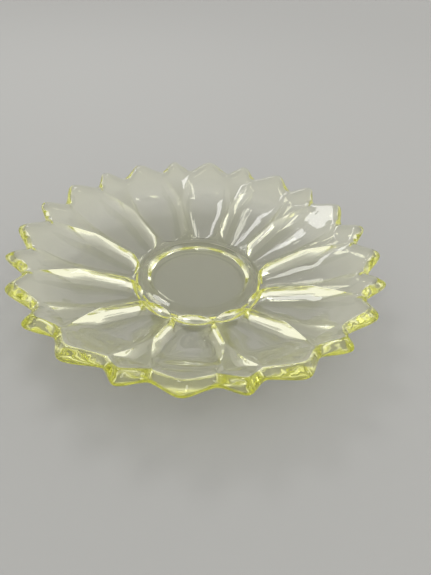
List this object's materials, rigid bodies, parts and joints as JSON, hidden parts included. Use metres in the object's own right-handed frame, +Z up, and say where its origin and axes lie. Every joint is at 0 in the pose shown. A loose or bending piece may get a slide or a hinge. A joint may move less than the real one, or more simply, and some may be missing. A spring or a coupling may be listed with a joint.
{
  "type": "pressed glass dish",
  "caption": "Wide, low pressed-glass dish shaped like an open flower: scooped petals around a flat well, a pointed scalloped rim and a low foot ring.",
  "frame": {"origin": "centre of the foot ring's resting plane, on the dish's axis", "axes": "+Z up along the dish's axis out of the open side, +X through the middle of one wide petal"},
  "size_m": [0.32, 0.32, 0.052],
  "materials": {
    "uranium_glass": "clear pressed glass, pale yellow-green, fire-polished"
  },
  "bodies": {
    "root": {"glass_dish": "uranium_glass"}
  },
  "joints": []
}
